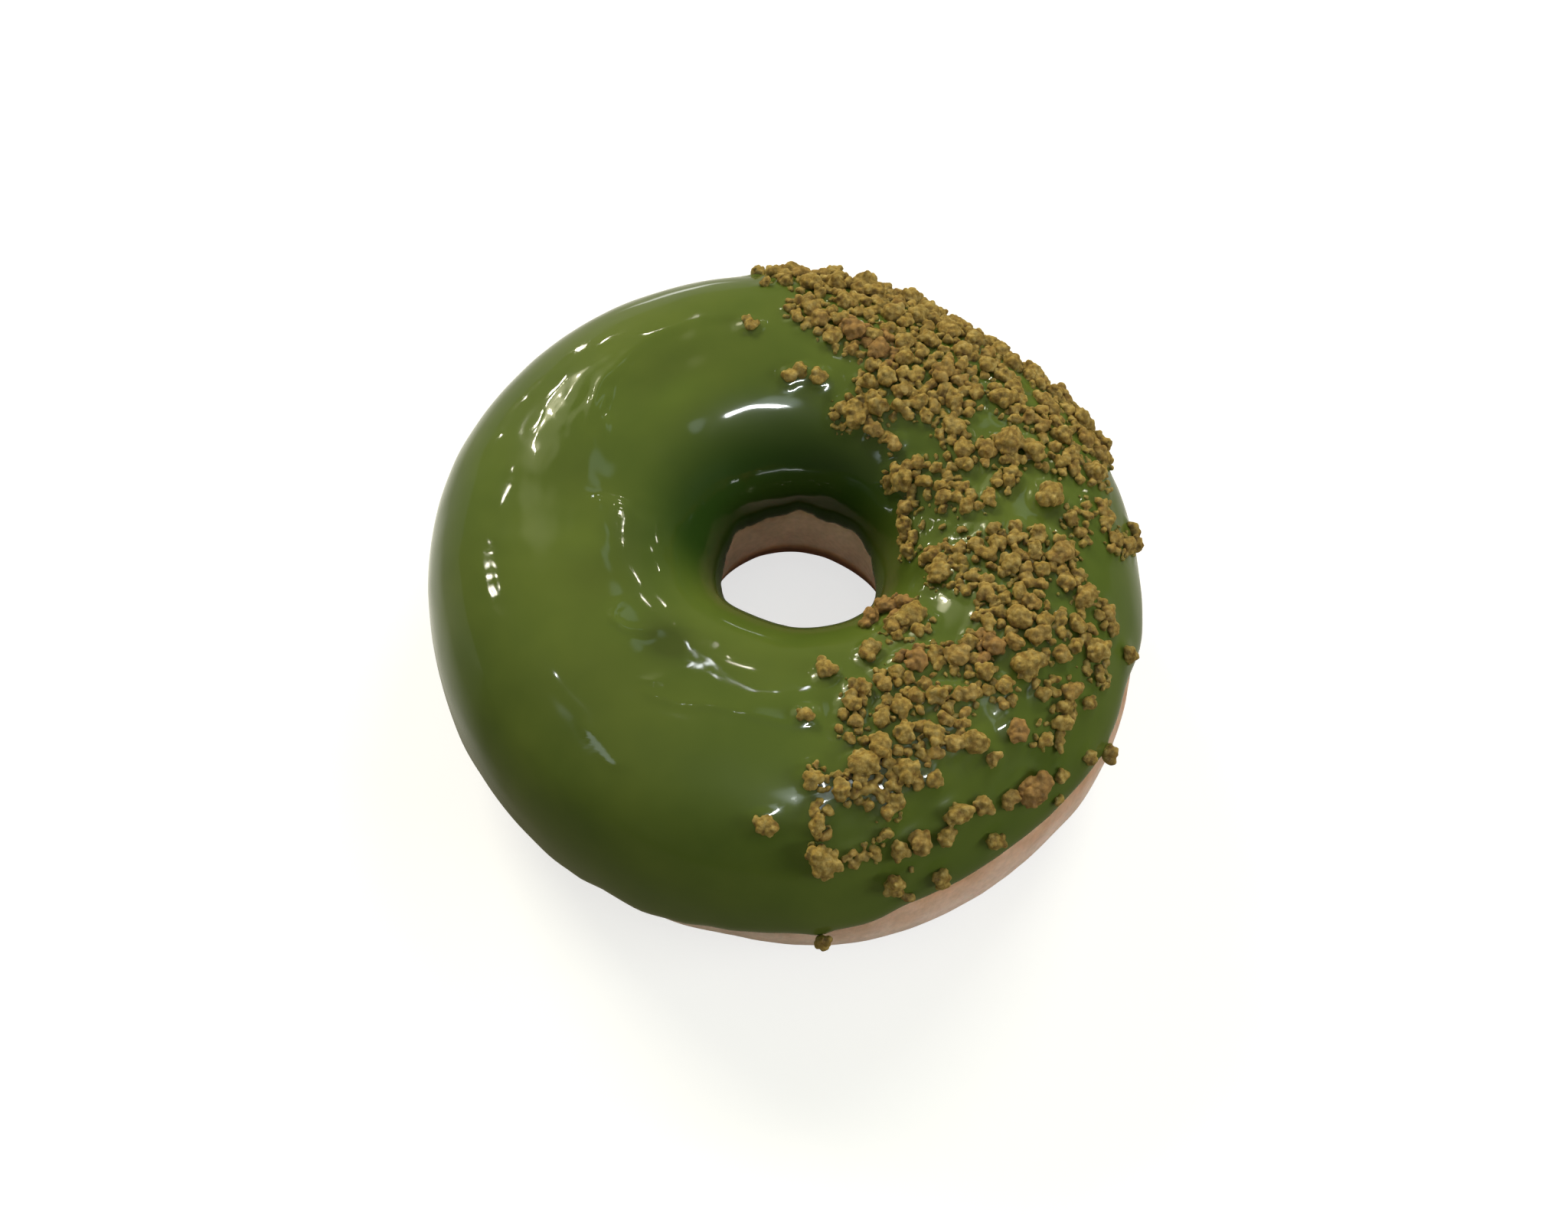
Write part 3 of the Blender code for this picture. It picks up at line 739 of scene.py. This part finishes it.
def floor_material():
    """A plain pale grey that also shines by itself, so that it is pale all over."""
    nodes = Nodes(bpy.data.materials.new("pale floor"))
    grey, paler, white = (0.42, 0.42, 0.42), (0.43, 0.43, 0.43), (1, 1, 1)
    colour = nodes.ramp(nodes.noise(200, 1), (0.3, grey), (0.7, paler))
    shine = {"Emission_Color": white, "Emission_Strength": 0.70}
    return nodes.finish(colour, Roughness=0.9, Specular_IOR_Level=0.1, **shine)


def ground_material(skin):
    """Shades that the dough and the icing reflect: dark under the ring, pale behind it on the left."""
    nodes = Nodes(bpy.data.materials.new("ground"))
    spot_parts = nodes.add("ShaderNodeSeparateXYZ")
    nodes.link(nodes.spot, spot_parts.inputs[0])
    x, y, _ = spot_parts.outputs
    away = nodes.distance((0, 0, 0))
    under, outside, far, back, right = (
        nodes.span(source, low * MM, high * MM, *shares)
        for source, (low, high, *shares) in (
            (away, GROUND_UNDER), (away, GROUND_RISE), (away, GROUND_FALL),
            (y, GROUND_BACK), (x, GROUND_RIGHT),
        )
    )
    pale = nodes.math("MULTIPLY", nodes.math("MULTIPLY", outside, far), nodes.math("MULTIPLY", back, right))
    colour = nodes.mix(pale, nodes.times(GROUND_DARK, under), GROUND_PALE)
    for theta, phi, radius, strength in GROUND_PATCHES:
        at, heading = glint_heading(skin, theta, phi, GLOW_POINTS)
        spot = at - heading * at[2] / heading[2]
        patch = nodes.span(nodes.distance(spot * MM), 0, radius * MM, strength, 0, "SMOOTHERSTEP")
        colour = nodes.mix(1.0, colour, patch, "ADD")
    black, blackish = (0, 0, 0), (0.001, 0.001, 0.001)
    base = nodes.ramp(nodes.noise(50), (0, black), (1, blackish))
    return nodes.finish(base, Emission_Color=colour, Emission_Strength=1.0, Specular_IOR_Level=0.0)


def make_dough():
    """The ring. It is palest in a band round its widest level, golden above that and browned below."""
    dough, theta, phi = new_torus("dough_ring", DOUGH_STEPS)
    base = ring_points(theta, phi)
    lift = np.where(base[:, 2] < FLAT_BELOW, 0, waves(base, DOUGH_WAVES))
    set_points(dough, ring_points(theta, phi, lift - DOUGH_SINK))
    height = base[:, 2] + waves(base, CRUST_WAVES)
    outwards_share = np.cos(np.radians(phi))
    outside, hole = (smooth((level - height) / depth) for level, depth in (OUTSIDE_CRUST, HOLE_CRUST))
    below = np.where(outwards_share > 0, outside, hole)
    level, rise, most = GOLDEN
    above = most * smooth(outwards_share + SIDE_SOFTNESS) * smooth((height - level) / rise)
    add_values(dough, "crust", np.maximum(above, below))
    # Where the side in the hole is pinker and brightened by painted light
    add_values(dough, "inside", smooth(-outwards_share / SIDE_SOFTNESS))
    dough.data.materials.append(dough_material())
    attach(dough, "root")
    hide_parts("dough")


def crumbs_near(theta, phi):
    """How far places belong to the chains of crumbs, from 0 to 1."""
    return smooth(crumb_room(theta, phi) / AMONG_EDGE + 1)


def icing_climb(theta, points, crumbs):
    """How far the icing rises towards each crumb that stands in it."""
    turn = turned(theta, 0)
    near = np.flatnonzero((turn > CRUMBS_FROM) & (turn < CRUMBS_TO))
    climb = np.zeros(len(theta))
    for centre, size in zip(ring_points(crumbs[:, 0], crumbs[:, 1]), crumbs[:, 2]):
        away = np.linalg.norm(points[near] - centre, axis=1) - size * CRUMB_FOOT
        share = np.exp(-((np.maximum(away, 0) / MENISCUS_REACH) ** 2))
        climb[near] = np.maximum(climb[near], MENISCUS_HEIGHT * min(size / MENISCUS_FULL, 1) * share)
    return climb


def icing_surface(theta, phi, low, high, crumbs):
    """Height of the icing's outer face over the dough."""
    edge = np.radians(np.minimum(phi - low, high - phi)) * section_radius(theta)
    rim = np.sqrt(np.clip(1 - (1 - np.clip(edge / EDGE_ROUND, 0, 1)) ** 2, 0, 1))
    bare = ring_points(theta, phi)
    height = ICING_THICKNESS + patches(theta, phi, RELIEF) + waves(bare, RIPPLES)
    for fold in FOLDS:
        height += fold_height(bare, theta, phi, fold)
    for ruffle in RUFFLES:
        height += ruffle_height(theta, phi, ruffle)
    height += crumbs_near(theta, phi) * waves(bare, CRUMB_RIPPLES, shift=5.0)
    return (GAP + height + icing_climb(theta, bare, crumbs)) * rim


def make_icing(crumbs):
    """A closed skin: most of its rows cross the outer face from edge to edge, the rest the inner face."""
    icing, theta, turn = new_torus("icing_skin", ICING_STEPS)
    rows = ICING_STEPS[1]
    row = np.round(turn * rows / 360) % rows
    outer_rows = rows - ICING_INNER_ROWS
    sides = ring_points(theta, 0 * theta)
    low = between(theta, LOWER_EDGE) + waves(sides, EDGE_WAVES)
    high = between(theta, HOLE_EDGE) + waves(sides, EDGE_WAVES, shift=9.0)
    out = np.clip(row / outer_rows, 0, 1)
    back = np.clip((row - outer_rows) / ICING_INNER_ROWS, 0, 1)
    share = out + FINER_MIDDLE / math.tau * np.sin(math.tau * out) - back
    phi = low + (high - low) * share
    outside = icing_surface(theta, phi, low, high, crumbs)
    set_points(icing, ring_points(theta, phi, np.where(row <= outer_rows, outside, ICING_INSIDE)))
    # The painted shade in the hole, kept as depth
    hole_shade_round = smooth(np.cos(np.radians(theta - HOLE_SHADE_AT)) + HOLE_SHADE_WIDTH)
    add_values(icing, "depth", smooth((phi - HOLE_SHADE_FROM) / HOLE_SHADE_OVER) * hole_shade_round)
    # The patches of painted light and shade
    add_values(icing, "painted_light_and_shade", patches(theta, phi, LIGHT_AND_SHADE_PATCHES))
    add_values(icing, "among", crumbs_near(theta, phi))
    icing.data.materials.append(icing_material())
    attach(icing, "root")
    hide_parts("icing")
    return icing


def ball():
    """Points and faces of a ball of radius 1."""
    mesh = bmesh.new()
    bmesh.ops.create_icosphere(mesh, subdivisions=BALL_FINENESS, radius=1)
    points = np.array([vertex.co for vertex in mesh.verts])
    faces = np.array([[vertex.index for vertex in face.verts] for face in mesh.faces])
    mesh.free()
    return points, faces


def heap(crumbs):
    """How high each crumb is raised by the larger ones beside it."""
    points = ring_points(crumbs[:, 0], crumbs[:, 1])
    radii = crumbs[:, 2] / 2
    lift = np.zeros(len(crumbs))
    for k in np.argsort(-radii):
        away = np.linalg.norm(points - points[k], axis=1)
        larger = (radii > radii[k]) & (away < radii)
        if larger.any():
            climb = HEAPING * np.sqrt(radii[larger] ** 2 - away[larger] ** 2)
            lift[k] = (lift[larger] + climb).max()
    return lift


def granules(draw, size):
    """Middles and radii of a crumb's two cores and the granules on them, over a flat surface."""
    cores = np.array((CORE, SECOND_CORE)) * size
    turn = draw.uniform(0, math.tau)
    second = np.array((math.cos(turn), math.sin(turn), draw.uniform(*SECOND_RISE))) * cores[0] * SECOND_AWAY
    middles, radii = [np.zeros(3), second], list(cores)
    for core, at in zip(cores, list(middles)):
        count = round(GRANULES_EACH * BALL_AREA * (core / np.mean(GRANULE_RADII)) ** 2)
        for radius in np.minimum(draw.uniform(*GRANULE_RADII, count), GRANULE_LARGEST * size):
            heading = draw.normal(size=3)
            reach = core - radius * draw.uniform(*GRANULE_DEPTH)
            middles.append(at + heading / np.linalg.norm(heading) * reach)
            radii.append(radius)
    middles = np.array(middles)
    middles *= (draw.uniform(*WIDTHS), draw.uniform(*WIDTHS), CRUMB_HEIGHT * draw.uniform(*HEIGHTS))
    middles[:, 2] += CRUMB_LIFT * size
    return middles, np.array(radii)


def crumb_bakes(crumbs):
    """How reddish each crumb is baked, from 0 to 1: most of them little."""
    draw = np.random.default_rng(CRUMB_SEED + 1)
    bakes = draw.uniform(0, MOST_BAKED, len(crumbs)) ** BAKE_POWER
    points = ring_points(crumbs[:, 0], crumbs[:, 1])
    for place in REDDISH_CRUMBS:
        bakes[np.linalg.norm(points - ring_points(*place), axis=1) < REDDISH_REACH] = 1
    return bakes


def make_crumbs(name, crumbs, lifts, bakes, material):
    """One piece of all crumbs of a kind: clumps of granules melted together, then roughened."""
    draw = np.random.default_rng(CRUMB_SEED)
    ball_points, ball_faces = ball()
    points, faces, count = [], [], 0
    for (theta, phi, size), lift in zip(crumbs, lifts):
        up = outwards(theta, phi)
        along = np.cross(up, (0, 0, 1.0))
        along /= np.linalg.norm(along)
        turn = draw.uniform(0, math.tau)
        side = along * math.cos(turn) + np.cross(up, along) * math.sin(turn)
        axes = np.array([side, np.cross(up, side), up])
        foot = ring_points(theta, phi, GAP + ICING_THICKNESS + lift)
        for middle, radius in zip(*granules(draw, size)):
            shape = ball_points * radius * draw.uniform(*WIDTHS, 3)
            points.append(foot + (shape + middle) @ axes)
            faces.append(ball_faces + count)
            count += len(ball_points)
    mesh = bpy.data.meshes.new(name)
    all_points = (np.concatenate(points) + RING_PLACE) * MM
    mesh.from_pydata(all_points.tolist(), [], np.concatenate(faces).tolist())
    piece = add_object(name, mesh)
    melt = piece.modifiers.new("melt", "REMESH")
    melt.mode = "VOXEL"
    melt.voxel_size = VOXEL * MM
    melted = bpy.data.meshes.new_from_object(piece.evaluated_get(bpy.context.evaluated_depsgraph_get()))
    piece.modifiers.clear()
    piece.data = melted
    finish_crumbs(piece, crumbs, lifts, bakes)
    melted.materials.clear()
    melted.materials.append(material)
    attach(piece, "root")


def wetness(points):
    """How far the icing wets points of the crumbs: less, the higher they are above it."""
    theta = np.degrees(np.arctan2(points[:, 1], points[:, 0]))
    outer, inner = outer_radius(theta), hole_radius(theta)
    run = (np.hypot(points[:, 0], points[:, 1]) - (outer + inner) / 2) / (outer - inner)
    rise = (points[:, 2] - WIDEST_LEVEL) / CREST_RISE / 2
    phi = np.degrees(np.arctan2(rise, run))
    above = np.linalg.norm(points - ring_points(theta, phi), axis=1) - GAP - ICING_THICKNESS
    return np.clip(1 - above / GLAZED_HEIGHT, 0, 1)


def finish_crumbs(piece, crumbs, lifts, bakes):
    """Roughen the crumbs, and keep what their material reads: how baked and wet they are, and how deep in a
    crease each point lies, for its painted shade.
    """
    mesh = piece.data
    points = np.array([vertex.co for vertex in mesh.vertices]) / MM
    tree = kdtree.KDTree(len(crumbs))
    for number, ((theta, phi, size), lift) in enumerate(zip(crumbs, lifts)):
        height = GAP + ICING_THICKNESS + lift + CRUMB_LIFT * size
        tree.insert(RING_PLACE + ring_points(theta, phi, height), number)
    tree.balance()
    add_values(piece, "bake", bakes[[tree.find(point)[1] for point in points]])
    normals = np.array([vertex.normal for vertex in mesh.vertices])
    rise, length = CELLS
    lumps = np.array([noise.voronoi(place)[0][0] for place in points / length])
    rough = waves(points, GRAIN, shift=3.0) + rise * (0.5 - lumps)
    # Kept for the painted shade in the creases
    add_values(piece, "crease_shade", lumps)
    points += normals * rough[:, None]
    mesh.vertices.foreach_set("co", (points * MM).astype(np.float32).ravel())
    mesh.update()
    mesh.shade_smooth()
    add_values(piece, "glaze", wetness(points - RING_PLACE))


def camera_place():
    """Where the camera stands and what it looks at."""
    tilt = math.radians(ELEVATION)
    aim = np.array(AIM) + RING_PLACE
    return aim + DISTANCE * np.array([0, -math.cos(tilt), math.sin(tilt)]), aim


def make_camera():
    data = bpy.data.cameras.new("camera")
    data.lens, data.sensor_width = LENS, SENSOR
    data.clip_start = NEAREST_SEEN
    camera = add_object("camera", data)
    point_at(camera, *camera_place())
    bpy.context.scene.camera = camera


def skin_places(icing):
    """Points of the icing's mesh and the directions out of it."""
    points = np.array([vertex.co for vertex in icing.data.vertices]) / MM
    return points, np.array([vertex.normal for vertex in icing.data.vertices])


def glint_heading(skin, theta, phi, count):
    """A place on the icing and the direction to a light whose reflection the camera sees there.

    The icing's own direction is the mean over its count nearest points.
    """
    points, normals = skin
    away = np.linalg.norm(points - RING_PLACE - ring_points(theta, phi, GAP + ICING_THICKNESS), axis=1)
    near = np.argsort(away)[:count]
    at, up = points[near].mean(0), normals[near].mean(0)
    up /= np.linalg.norm(up)
    to_camera = camera_place()[0] - at
    to_camera /= np.linalg.norm(to_camera)
    return at, 2 * (up @ to_camera) * up - to_camera


def add_light(name, at, aim, watts, colour, size):
    """A lamp of one size, which is round, or of two, which has four corners."""
    data = bpy.data.lights.new(name, "AREA")
    data.energy, data.color = watts, colour
    data.shape = "RECTANGLE" if len(size) > 1 else "DISK"
    data.size = size[0] * MM
    if len(size) > 1:
        data.size_y = size[1] * MM
    light = add_object(name, data)
    point_at(light, at, aim)
    return light


def add_glint(skin, name, place, size, colour):
    """A lamp that shows only in the gloss, as a glint at one place on the icing."""
    at, heading = glint_heading(skin, *place, GLINT_POINTS if size[0] < LARGE_GLINT else GLOW_POINTS)
    watts = LAMP_POWER * size[0] * size[-1] / DECIMETRE ** 2
    lamp = add_light(name, at + heading * LAMP_DISTANCE, at, watts, colour, size)
    lamp.visible_diffuse = False


def make_lights(skin):
    """Lamps for the glints, then a key behind on the left and other soft lights, which don't glint."""
    for name, colour, glints in (("warm", WARM, WARM_GLINTS), ("cool", COOL, COOL_GLINTS)):
        for number, (theta, phi, size) in enumerate(glints):
            add_glint(skin, f"{name}_{number}", (theta, phi), (2 * LAMP_RADIUS * size,), colour)
    add_glint(skin, "strip", STRIP_GLINT, STRIP_SIZE, COOL)
    at, heading = glint_heading(skin, *KEY_GLINT, GLOW_POINTS)
    soft = [add_light("key", at + heading * LAMP_DISTANCE, at, KEY_WATTS, WARM, KEY_SIZE)]
    for name, place, *settings in SOFT_LIGHTS:
        soft.append(add_light(name, np.array(place), np.zeros(3), *settings))
    for light in soft:
        light.visible_glossy = False


def make_sky(skin):
    """A world that is palest behind on the left, with soft glows for the icing to reflect."""
    nodes = Nodes(bpy.data.worlds.new("soft sky"), "Generated")
    towards = nodes.span(nodes.along(SKY_BRIGHTEST), *SKY_SPAN, SKY_LEAST, 1)
    colour = nodes.times(SKY_COLOUR, towards)
    for theta, phi, radius, tint in GLOWS:
        heading = glint_heading(skin, theta, phi, GLOW_POINTS)[1]
        share = nodes.span(nodes.along(heading), math.cos(math.radians(radius)), 1, 0, 1, "SMOOTHERSTEP")
        colour = nodes.mix(1.0, colour, nodes.times(tint, share), "ADD")
    nodes.link(colour, nodes.tree.nodes["Background"].inputs["Color"])
    bpy.context.scene.world = nodes.owner


def new_plane(name, material, height=0.0):
    """A flat piece of the stage."""
    bpy.ops.mesh.primitive_plane_add(size=FLOOR_SIZE, location=(0, 0, height * MM))
    plane = bpy.context.object
    plane.name = name
    plane.data.materials.append(material)
    return plane


def make_floor(skin):
    """A pale floor and wall for the camera, and the ground that the object reflects instead."""
    pale = floor_material()
    floor = new_plane("floor", pale)
    bpy.ops.mesh.primitive_cylinder_add(
        vertices=WALL_SIDES, radius=FLOOR_SIZE / 2, depth=FLOOR_SIZE, end_fill_type="NOTHING"
    )
    wall = bpy.context.object
    wall.name = "wall"
    wall.data.materials.append(pale)
    wall.data.shade_smooth()
    wall.visible_shadow = False
    for piece in (floor, wall):
        piece.visible_diffuse = piece.visible_glossy = False
    ground = new_plane("ground", ground_material(skin), GROUND_LEVEL)
    ground.visible_camera = ground.visible_shadow = False


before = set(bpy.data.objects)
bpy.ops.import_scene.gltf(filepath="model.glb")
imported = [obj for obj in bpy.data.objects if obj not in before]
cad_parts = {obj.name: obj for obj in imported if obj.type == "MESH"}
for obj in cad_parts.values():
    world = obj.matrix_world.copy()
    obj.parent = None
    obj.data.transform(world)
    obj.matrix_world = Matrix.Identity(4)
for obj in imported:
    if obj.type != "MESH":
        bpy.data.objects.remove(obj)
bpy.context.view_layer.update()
RING_PLACE = ring_place()
bpy.context.scene.view_settings.view_transform = "Standard"
crumbs = np.vstack([crumb_places(SOLID_FILLS + FINE_FILLS), LONE_CRUMBS])
make_dough()
icing = make_icing(crumbs)
baked = crumb_material()
lifts, bakes = heap(crumbs), crumb_bakes(crumbs)
most = math.inf
for kind, least in KINDS:
    chosen = (crumbs[:, 2] >= least) & (crumbs[:, 2] < most)
    make_crumbs(f"crumbs_{kind}", crumbs[chosen], lifts[chosen], bakes[chosen], baked)
    most = least
make_camera()
skin = skin_places(icing)
make_floor(skin)
make_sky(skin)
make_lights(skin)
